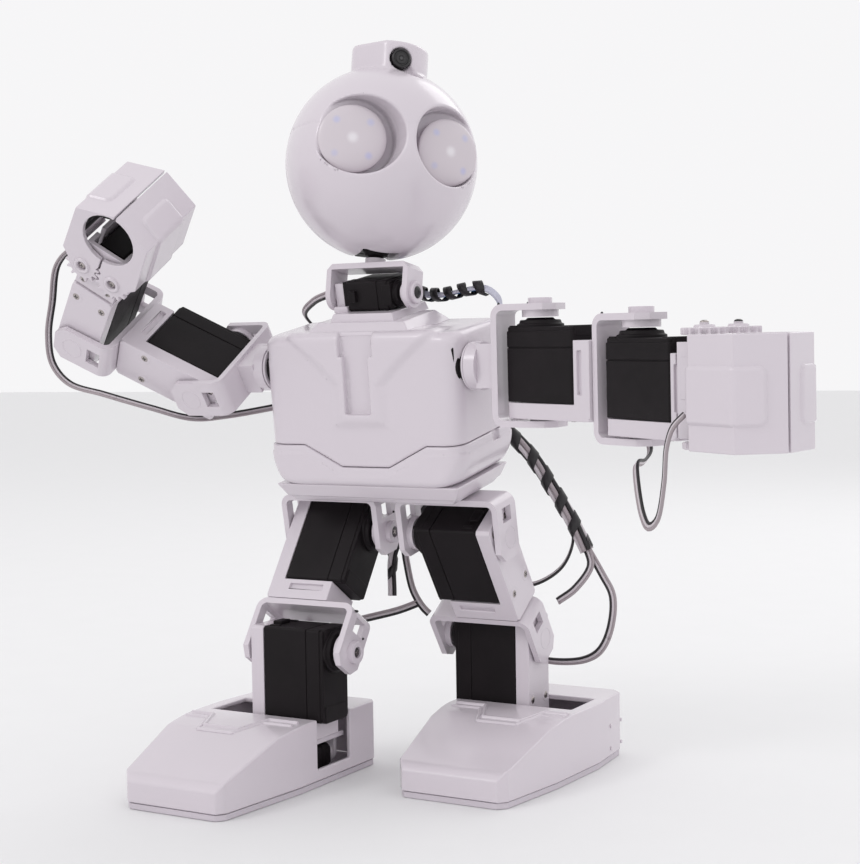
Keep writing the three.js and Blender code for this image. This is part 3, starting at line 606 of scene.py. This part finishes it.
# ---------------------------------------------------------------- neck and head
MICRO = dict(head=6.2, tail=16.8, half=6.3, back=-9.2, face=12, boss=15.4, boss_r=5.6, big=False)
neck_seat = TORSO @ move(0, 0.5, NECK_BASE) @ axes((0, 1, 0), (0, 0, 1), (1, 0, 0))
servo("neck_servo_form", "neck_servo", neck_seat, "torso", **MICRO)
neck_extra = Shape(NYLON)
neck_extra.box(-4.6, 4.6, -6.6, 6.0, -12.0, -8.6)
neck_extra.box(-8.0, -5.6, -2.4, 2.4, -7.6, -4.4)
rounded(put("neck_servo_ribs", neck_extra.done("neck_servo_ribs"), neck_seat, "torso"), 0.25, 2)
skin("neck_bracket", ABS, 0.75)
neck_details = Shape(DARK, STEEL, ABS)
neck_details.screw(0, 0, 21.5, 2.7, 0, 0, turn("Y", 90))
neck_details.lathe([(3.1, 21.2), (3.4, 21.9), (4.5, 21.9), (4.8, 21.2), (3.1, 21)], (0, 0), 2,
                   turn("Y", 90))
rounded(put("neck_screw", neck_details.done("neck_screw"), NECK, "neck"), 0.1, 2)


def eye_frame(side):
    return move(side * 20.9, -25.8, 2.5) @ turn("Z", side * 11.8)


def to_local(p, place):
    back = np.array(place.inverted())
    return p @ back[:3, :3].T + back[:3, 3]


def head_field(p):
    x, y, z = p[..., 0], p[..., 1], p[..., 2]
    ball = np.linalg.norm(p, axis=-1) - HEAD_R
    facet = -x * 0.82 - (y + 2.5) * 0.57 - 13.8
    pod = smax(smax(np.hypot(x, y + 2.5) - 16.4, z - 49, 1.6), facet, 1.2)
    pod = np.maximum(pod, 20 - z)
    field = smin(ball, pod, 1.2)
    for side in (-1, 1):
        bore = np.hypot(x - side * 18.8, z - 3.4) - 16.4
        plane = to_local(p, eye_frame(side))[..., 1] - 0.9
        field = smax(field, -smax(bore, plane, 0.8), 1.5)
        field = smax(field, -smax(bore, y + 22, 0.5), 1.1)
    t = np.clip((x - 0.5) / 5.5, 0, 1)
    away = np.sqrt((x - 0.5 - 5.5 * t) ** 2 + (y + 20.0) ** 2 + (z - 40.6 + 6.2 * t) ** 2)
    field = smax(field, 4.6 - 1.2 * t - away, 0.7)
    lens = np.maximum(np.hypot(x, z - 41.4) - 4.75, y + 14)
    field = smax(field, -lens, 0.5)
    pocket = brick(p, (-8, -9, -52), (8, 19, -15), 1)
    return smax(field, -pocket, 0.8)


def head_shell(front):
    gap = 0.14

    def field(p):
        y, z = p[..., 1], p[..., 2]
        ball = np.linalg.norm(p, axis=-1)
        groove = np.maximum(np.abs(z - 9) - 0.3, np.abs(ball - HEAD_R) - 0.22)
        value = smax(head_field(p), -groove, 0.25)
        cut = y - HEAD_JOIN + gap if front else HEAD_JOIN + gap - y
        return smax(value, cut, 0.6)
    part = "head_front" if front else "head_rear"
    low, high, step = (-42, -42.5, -42.5), (42, 9.5, 50), 0.75
    if not front:
        low, high, step = (-42, 6.8, -42.5), (42, 42.5, 50), 1.0
    mesh = surface(f"{part}_form", field, low, high, step, ABS)
    lighter(put(f"{part}_form", mesh, HEAD, "head", [f"{part}_shell"]), 0.6)


head_shell(True)
head_shell(False)

for side, name in ((-1, "right"), (1, "left")):
    lens = Shape(FROST)
    dome = [(14.2 * math.sin(a), -2.15 + 2.3 * (1 - math.cos(a)) / (1 - math.cos(1.45)))
            for a in np.linspace(0.08, 1.45, 18)]
    profile = [(0, -2.15)] + dome + [(14.2, 0.9), (0, 0.9)]
    lens.lathe(profile, (0, 0), 0, turn("X", -90), 72)
    mesh = lens.done(f"{name}_eye_form")
    mesh.shade_smooth()
    put(f"{name}_eye_form", mesh, HEAD @ eye_frame(side), "head",
        [f"{name}_eye_lens"], local=True)

camera_lens = Shape(LENS, DARK, STEEL)
toward = HEAD @ move(0, 0, 41.4) @ turn("X", 90)
camera_lens.lathe([(0, 12), (4.1, 12), (4.1, 19.1), (3.8, 19.5), (3.3, 19.5), (3.0, 18.9),
                   (0, 18.9)], (0, 0), 1)
camera_lens.lathe([(0, 18), (2.5, 18), (2.5, 19.15), (2.2, 19.3), (1.2, 19.3), (1.0, 18.98),
                   (0, 18.98)], (0, 0), 1)
camera_lens.lathe([(0, 18.6), (1.0, 18.6), (0.8, 19.1), (0.4, 19.22), (0, 19.25)], (0, 0), 0)
for spin in range(3):
    angle = spin * 2.1 + 0.5
    camera_lens.lathe([(0, 18.6), (0.3, 18.6), (0.3, 19.05), (0, 19.1)],
                      (1.75 * math.cos(angle), 1.75 * math.sin(angle)), 2, sides=12)
rounded(put("camera_form", camera_lens.done("camera_form"), toward, "head",
            ["camera_lens"]), 0.1, 2)
head_seat = HEAD @ move(0, 0, 15.4 - 40.8) @ axes((0, 1, 0), (1, 0, 0), (0, 0, -1))
servo("head_servo_form", "head_servo", head_seat, "head", **MICRO)


# ---------------------------------------------------------------- arms and grippers
def relief(shape, line, low, high, height, corner=3.2, side=1):
    """A raised panel with rounded corners laid along an outline in x and y, between two heights."""
    points = np.array(line, float)
    steps = np.linalg.norm(np.diff(points, axis=0), axis=1)
    total = steps.sum()
    along = np.linspace(0, total, 56)
    stations = np.concatenate([[0], np.cumsum(steps)])
    xs = np.interp(along, stations, points[:, 0])
    ys = np.interp(along, stations, points[:, 1])
    tangent = np.stack([np.gradient(xs), np.gradient(ys)], -1)
    tangent /= np.linalg.norm(tangent, axis=1)[:, None]
    normal = np.stack([-tangent[:, 1], tangent[:, 0]], -1) * side
    heights = np.linspace(low, high, 40)
    rows = []
    for s, x, y, n in zip(along, xs, ys, normal):
        row = []
        for z in heights:
            qx = abs(s - total / 2) - (total / 2 - corner)
            qz = abs(z - (low + high) / 2) - ((high - low) / 2 - corner)
            edge = corner - math.hypot(max(qx, 0), max(qz, 0)) - min(max(qx, qz), 0)
            t = min(max(edge / 1.3, 0), 1)
            lift = height * t * t * (3 - 2 * t) - 0.12
            row.append(shape.bm.verts.new((x + n[0] * lift, y + n[1] * lift, z)))
        rows.append(row)
    for a, b in zip(rows, rows[1:]):
        for i in range(len(heights) - 1):
            shape.bm.faces.new((a[i], b[i], b[i + 1], a[i + 1]))


def jaw(name, part, lie, place):
    node = f"{name}_{part}"
    skin(node, ABS, 0.38).modifiers["round"].use_clamp_overlap = False
    shape = Shape(ABS, DARK, RUBBER)
    line = [(47.5, lie * 14.7), (51, lie * 18.2), (73.6, lie * 17.65), (74.6, lie * 17.1),
            (79.2, lie * 6.9)]
    relief(shape, line, -11.2, 9.6, 1.0, side=lie)
    for spin in (-1, 1):
        end = 22.5 if spin > 0 else -20
        facing = Matrix() if spin > 0 else turn("X", 180)
        place_gear = move(JAW_PIN_X, lie * JAW_PIN_Y, end) @ facing
        shape.lathe([(2.2, -0.3), (2.2, 0.6), (2.9, 0.75), (3.6, 0.7), (3.9, -0.3)], (0, 0), 0,
                    place_gear, 32)
    for strip in range(4):
        x = 56 + strip * 4.1
        shape.box(x, x + 3.5, lie * 15.1 - 0.7, lie * 15.1 + 0.7, -JAW_HALF, JAW_HALF, 2)
    for strip in range(3):
        along = 3 + strip * 4.2
        spot = move(72.4 + along * 0.394, lie * (15.1 - along * 0.919), 0)
        spot = spot @ turn("Z", lie * -66.8)
        shape.box(-1.8, 1.8, -0.7, 0.7, -JAW_HALF, JAW_HALF, 2, spot)
    obj = put(node + "_detail", shape.done(node + "_detail"), place, node)
    obj.data.shade_smooth()
    obj.modifiers.new("normals", "WEIGHTED_NORMAL")


def arm(name, side, pitch, swing, elbow):
    turned = Matrix() if side > 0 else axes((-1, 0, 0), (0, -1, 0), (0, 0, 1))
    shoulder = TORSO @ move(side * 62, SHOULDER_Y, SHOULDER_Z) @ turn("X", pitch) @ turned
    bracket(f"{name}_shoulder_bracket", shoulder @ move(18.2, 0, 0), f"{name}_shoulder")
    upper = shoulder @ move(18.2, 0, 0) @ turn("Z", swing)
    servo(f"{name}_upper_servo_form", f"{name}_upper_arm_servo", upper, f"{name}_upper_arm")
    cover(f"{name}_upper_arm_cover", upper, f"{name}_upper_arm", 39.5)
    elbow_seat = upper @ move(LINK, 0, -4.8)
    bracket(f"{name}_elbow_bracket", elbow_seat, f"{name}_upper_arm")
    fore = elbow_seat @ turn("Z", elbow)
    servo(f"{name}_fore_servo_form", f"{name}_forearm_servo", fore, f"{name}_forearm")
    cover(f"{name}_forearm_cover", fore, f"{name}_forearm", 33.4)
    hand = fore @ move(0, 0, -3.3)
    skin(f"{name}_gripper_frame", ABS, 0.6)
    servo(f"{name}_grip_servo_form", f"{name}_gripper_servo", hand @ move(43, 0, -2),
          f"{name}_forearm", **(MICRO | dict(tail=12.4)))
    pins = Shape(STEEL, DARK, ABS)
    for lie in (-1, 1):
        pins.screw(JAW_PIN_X, lie * JAW_PIN_Y, 23.9, 1.6, 1 if lie > 0 else 0, 1)
        pins.screw(JAW_PIN_X, lie * JAW_PIN_Y, -19.3, 1.5, 0, 1, flip=-1)
        pins.screw(37.5, lie * 6, 17.1, 1.5, 0, 1)
        pins.screw(37.5, lie * 6, -16.9, 1.5, 0, 1, flip=-1)
        pins.box(36, 40.5, lie * 9.6 - 0.2, lie * 9.6 + 0.2, -3, 12, 2)
    mesh = pins.done(f"{name}_hand_screws")
    rounded(put(mesh.name, mesh, hand, f"{name}_forearm"), 0.1, 2)
    jaw(name, "driven_jaw", 1, hand)
    jaw(name, "idle_jaw", -1, hand)


arm("right", -1, -67.6, 32.5, 98.7)
arm("left", 1, -9.5, -23.7, -7.8)


# ---------------------------------------------------------------- legs and feet
def foot(name, side, place):
    skin(f"{name}_foot_shell", ABS, 1.3, segments=4)
    skin(f"{name}_foot_sole", SOLE, 0.5)
    shape = Shape(ABS)

    def top(y):
        heights = [11.4, 15, 26.6, 28.2, 28.8, 28.8]
        return float(np.interp(y, [-74, -71, -38, -27, -20, 36], heights))

    ridge = [(-9, -20), (5, -20), (11, -34), (29, -34), (34, -21), (45, -21)]
    for offset, height in ((0, 0.9), (4.4, 0.7)):
        for (xa, ya), (xb, yb) in zip(ridge, ridge[1:]):
            a = Vector((side * xa, ya - offset, top(ya - offset)))
            b = Vector((side * xb, yb - offset, top(yb - offset)))
            along = (b - a).normalized()
            across = along.cross(Vector((0, 0, 1))).normalized() * 0.75
            base, crest = Vector((0, 0, -0.35)), Vector((0, 0, height))
            points = []
            for end in (a - along * 0.3, b + along * 0.3):
                points += [end - across * 1.7 + base, end - across * 0.6 + crest,
                           end + across * 0.6 + crest, end + across * 1.7 + base]
            sides = [(i, i + 4, (i + 1) % 4 + 4, (i + 1) % 4)[::-1] for i in range(4)]
            shape._add(points, [(3, 2, 1, 0), (4, 5, 6, 7)] + sides, 0)
    for y, z in ((19, 16), (33, 16), (19, 6), (33, 6)):
        shape.lathe([(0, -0.4), (0.9, -0.4), (0.9, 0.25), (0, 0.3)], (0, 0), 0,
                    move(side * (47.4 if y < 25 else 46.1), y, z) @ turn("Y", side * 90), 16)
    mesh = shape.done(f"{name}_foot_ridges")
    rounded(put(mesh.name, mesh, place, f"{name}_foot"), 0.35)


def leg(name, side, angle):
    turned = axes((0, 0, -1), (0, -side, 0), (-side, 0, 0))
    lean = 1.4 * side
    hip_at = TORSO @ move(side * HIP_X, 0, 0)
    bracket(f"{name}_hip_bracket", hip_at @ turned, "torso", lean)
    upper = hip_at @ turn("X", angle - LEAN)
    servo(f"{name}_thigh_servo_form", f"{name}_thigh_servo", upper @ turned, f"{name}_thigh")
    cover(f"{name}_thigh_cover", upper @ turned, f"{name}_thigh", 39.5)
    knee_at = upper @ move(0, 0, -LINK)
    bracket(f"{name}_knee_bracket", knee_at @ turned, f"{name}_thigh", lean)
    shin = knee_at @ turn("X", -angle)
    servo(f"{name}_shin_servo_form", f"{name}_shin_servo", shin @ turned, f"{name}_shin")
    cover(f"{name}_shin_cover", shin @ turned, f"{name}_shin", 37.7)
    skin(f"{name}_ankle_bracket", ABS, 0.5)
    ankle = shin @ move(0, 0, -KNEE_Z + ANKLE_Z)
    seat = ankle @ move(0, -3.35, 0) @ axes((side, 0, 0), (0, 0, -side), (0, 1, 0))
    servo(f"{name}_ankle_servo_form", f"{name}_ankle_servo", seat, f"{name}_foot",
          **(MICRO | dict(half=5.4, boss_r=5.2)))
    foot(name, side, ankle @ move(0, 0, -ANKLE_Z))


leg("right", -1, -THIGH)
leg("left", 1, THIGH)


# ---------------------------------------------------------------- cables
def route(points):
    """A centripetal curve through points given in the robot's own frame, about every 1.5 mm."""
    p = [ORIGIN @ Vector(q) for q in points]
    p = [p[0] * 2 - p[1]] + p + [p[-1] * 2 - p[-2]]
    line = []
    for a, b, c, d in zip(p, p[1:], p[2:], p[3:]):
        ta = 0
        tb = ta + max((b - a).length, 1e-6) ** 0.5
        tc = tb + max((c - b).length, 1e-6) ** 0.5
        td = tc + max((d - c).length, 1e-6) ** 0.5
        count = max(4, int((c - b).length / 1.5))
        for i in range(count):
            t = tb + (tc - tb) * i / count
            a1 = a * ((tb - t) / (tb - ta)) + b * ((t - ta) / (tb - ta))
            a2 = b * ((tc - t) / (tc - tb)) + c * ((t - tb) / (tc - tb))
            a3 = c * ((td - t) / (td - tc)) + d * ((t - tc) / (td - tc))
            b1 = a1 * ((tc - t) / (tc - ta)) + a2 * ((t - ta) / (tc - ta))
            b2 = a2 * ((td - t) / (td - tb)) + a3 * ((t - tb) / (td - tb))
            line.append(b1 * ((tc - t) / (tc - tb)) + b2 * ((t - tb) / (tc - tb)))
    line.append(p[-2])
    return line


def carry(line, up):
    """Two directions across the line at each of its points, carried along without twist."""
    tangents = [(line[min(i + 1, len(line) - 1)] - line[max(i - 1, 0)]).normalized()
                for i in range(len(line))]
    side = (Vector(up) - tangents[0] * tangents[0].dot(Vector(up))).normalized()
    frames = []
    for t in tangents:
        side = (side - t * t.dot(side)).normalized()
        frames.append((side.copy(), t.cross(side)))
    return frames


def sweep(shape, line, frames, centre, section, finish, twist=0.0):
    """One closed strand: a section of (a, b) pairs swept beside the line."""
    rings = []
    for i, (point, (a, b)) in enumerate(zip(line, frames)):
        spin = twist * i
        c, s = math.cos(spin), math.sin(spin)
        u, v = a * c + b * s, b * c - a * s
        at = point + u * centre[0] + v * centre[1]
        rings.append([shape.bm.verts.new(at + u * p + v * q) for p, q in section])
    n = len(section)
    for low, high in zip(rings, rings[1:]):
        for i in range(n):
            j = (i + 1) % n
            face = shape.bm.faces.new((low[i], low[j], high[j], high[i]))
            face.material_index = finish
    shape.bm.faces.new(rings[0][::-1]).material_index = finish
    shape.bm.faces.new(rings[-1]).material_index = finish


FLAT_LEAD = [(-1.12, 0, 0.62, 0), (0, 0, 0.62, 1), (1.12, 0, 0.62, 2)]


def lead(name, points, up, bodies, strands=FLAT_LEAD, span=(0, 1),
         stands_for=(), twist=0.0, spread=(0.3, 0.7), wraps=None):
    """A free lead, or the part of it inside span, that runs between two bodies."""
    whole = route(points)
    first, last = int(span[0] * (len(whole) - 1)), int(span[1] * (len(whole) - 1))
    frames = carry(whole, up)[first:last + 1]
    line = whole[first:last + 1]
    shape = Shape(WIRE_BLACK, WIRE_PALE, WIRE_GREY, RIBBON, BLUE)
    for x, y, radius, finish in strands:
        sweep(shape, line, frames, (x, y), circle(radius), finish, twist)
    if wraps:
        wrap(shape, line, frames, *wraps)
    mesh = shape.done(name)
    mesh.shade_smooth()
    obj = put(name, mesh, Matrix(), None)
    if len(bodies) == 1:
        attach(obj, bodies[0])
    else:
        low, high = (line[int(share * (len(line) - 1))] / 1000 for share in spread)
        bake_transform(obj)
        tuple(low)
        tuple(high)
    if stands_for:
        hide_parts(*stands_for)
    path = [point / 1000 for point in line]
    length = sum((b - a).length for a, b in zip(path, path[1:]))
    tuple(path[0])
    return obj


def wrap(shape, line, frames, radius, pitch, band, finish, start=0.0, end=1.0):
    """A flat spiral band wound round a bundle."""
    lengths = [0.0]
    for a, b in zip(line, line[1:]):
        lengths.append(lengths[-1] + (b - a).length)

    def at(s):
        s = min(max(s, 0), lengths[-1] - 1e-4)
        i = next(k for k in range(len(lengths) - 1) if lengths[k + 1] >= s)
        share = (s - lengths[i]) / max(lengths[i + 1] - lengths[i], 1e-6)
        point = line[i].lerp(line[i + 1], share)
        across, over = (a.lerp(b, share) for a, b in zip(frames[i], frames[i + 1]))
        return point, across, over

    turns = lengths[-1] * (end - start) / pitch
    steps = int(turns * 20)
    rows = []
    for k in range(steps + 1):
        angle = 2 * math.pi * k / 20
        middle = lengths[-1] * start + pitch * k / 20
        row = []
        for s, r in ((-band / 2, radius), (-band / 2 + 0.2, radius + 0.35),
                     (band / 2 - 0.2, radius + 0.35), (band / 2, radius)):
            point, u, v = at(middle + s)
            row.append(shape.bm.verts.new(point + (u * math.cos(angle) + v * math.sin(angle)) * r))
        rows.append(row)
    for a, b in zip(rows, rows[1:]):
        for i in range(3):
            shape.bm.faces.new((a[i], b[i], b[i + 1], a[i + 1])).material_index = finish


TRUNK = [(26, 21, 152), (36, 29, 149), (48, 33, 137), (57, 34, 124), (63.5, 34.5, 114),
         (69, 35, 104.5), (73.5, 35, 96)]
BUNDLE = [(2.1 * math.cos(a), 2.1 * math.sin(a), 1.05, f) for a, f in
          zip((0, 1.05, 2.1, 3.14, 4.2, 5.25), (1, 0, 2, 1, 0, 2))] + [(0, 0, 1.1, 0)]
lead("harness_trunk", TRUNK, (0, -1, 0), ["torso"], BUNDLE, twist=0.03,
     wraps=(3.15, 11.5, 5.2, 0, 0.12, 0.97), stands_for=["leg_harness"])
THIGH_LEAD = [(67, 34.5, 108), (66, 36, 98), (60.5, 36.5, 88), (50.5, 34, 81), (40, 33, 79)]
lead("harness_thigh_lead", THIGH_LEAD, (0, 0, 1), ["torso", "left_thigh"])
SHIN_LEAD = [(73, 35, 98), (80.5, 35, 86), (85, 35.5, 77), (84, 36, 64), (78.5, 38, 53),
             (68, 43, 46.5), (52, 46, 44), (42, 45.8, 45)]
lead("harness_shin_lead_top", SHIN_LEAD, (1, 0, 0), ["torso", "left_thigh"], span=(0, 0.5))
lead("harness_shin_lead_end", SHIN_LEAD, (1, 0, 0), ["left_thigh", "left_shin"], span=(0.5, 1))
SPARE_END = [(73, 35, 98), (76, 33, 90), (70, 30, 80), (62, 29, 74)]
lead("harness_spare_end", SPARE_END, (1, 0, 0), ["torso"])
MIDDLE = [(30, 24, 151), (22, 26, 138), (4, 27, 122), (-10, 25, 106), (-17, 22, 92),
          (-17, 20.5, 73)]
SMALL_BUNDLE = [(1.3 * math.cos(a), 1.3 * math.sin(a), 1.0, f)
                for a, f in zip((0.3, 1.9, 3.4, 5), (1, 0, 2, 0))]
lead("harness_middle", MIDDLE, (0, -1, 0), ["torso", "right_thigh"], SMALL_BUNDLE,
     spread=(0.35, 0.85), wraps=(2.3, 13, 5.0, 0, 0.35, 0.9))
KNEE_LEAD = [(-13, 24, 100), (-10, 22, 88), (-6, 20.5, 76), (-1, 20, 69), (2.2, 20.4, 66)]
lead("harness_knee_lead", KNEE_LEAD, (1, 0, 0), ["torso", "left_thigh"])
CROSSING = [(-2, 20.5, 71), (-12, 18, 67), (-25, 10, 63.5), (-38, -4, 60), (-44, -14, 57.5)]
lead("harness_crossing", CROSSING, (0, 0, 1), ["torso", "right_thigh"])
RIGHT_ARM = [(-109, -71, 229.5), (-120, -70, 231), (-134, -66, 224), (-143, -60, 208),
             (-147.5, -58, 194), (-146.5, -57, 181), (-139, -55, 172), (-122, -51, 166.8),
             (-101, -44, 160.5), (-90, -30, 155.5), (-83, -12, 156), (-66, 10, 160),
             (-50, 17, 163), (-42, 16, 164)]
lead("right_arm_lead_hand", RIGHT_ARM, (0, -1, 0), ["right_forearm", "right_upper_arm"],
     span=(0, 0.5), stands_for=["right_arm_cable"], spread=(0.5, 0.9))
lead("right_arm_lead_middle", RIGHT_ARM, (0, -1, 0), ["right_upper_arm", "right_shoulder"],
     span=(0.5, 0.72))
lead("right_arm_lead_torso", RIGHT_ARM, (0, -1, 0), ["right_shoulder", "torso"], span=(0.72, 1))
LEFT_ARM = [(163, -78.9, 160.5), (159, -80.2, 156), (156.2, -79.2, 149), (154, -76.5, 136),
            (150, -73, 122.7), (145, -69, 119.5), (140.5, -64, 123.5), (136.5, -59, 134),
            (133, -51, 140.5), (131.5, -40, 140.8), (130.5, -31.5, 144.5), (127.5, -28.5, 152),
            (125, -27.6, 161)]
lead("left_arm_lead", LEFT_ARM, (0.8, -0.6, 0), ["left_forearm", "left_upper_arm"],
     stands_for=["left_arm_cable"], spread=(0.45, 0.8))
RIBBON_LINE = [(0, 5, 221), (1, 7, 215), (7, 8, 209.5), (20, 5, 208), (34, 3.5, 210),
               (42, 4, 210), (46.4, 7, 205.5), (44.5, 12, 199), (38, 13.5, 192)]
RIBBON_STRANDS = [(-2.4 + 0.8 * i, 0, 0.5, 3) for i in range(7)]
RIBBON_STRANDS += [(x, -0.5, 0.5, 4) for x in (0, -1.4, 1.4)]
lead("head_ribbon", RIBBON_LINE, (0, 0.2, 1), ["neck", "torso"], RIBBON_STRANDS,
     stands_for=["head_cable"], wraps=(2.75, 7.5, 4.2, 0, 0.1, 0.68))
NECK_LEAD = [(-9.8, -11, 210.3), (-21.5, -11, 211), (-31, -8, 209), (-42, -2, 206.5),
             (-52, 6, 201), (-48, 12, 194), (-20, 13.5, 188), (12, 14, 188), (38, 13.5, 192.5)]
lead("neck_servo_lead", NECK_LEAD, (0, -0.3, 1), ["torso"])
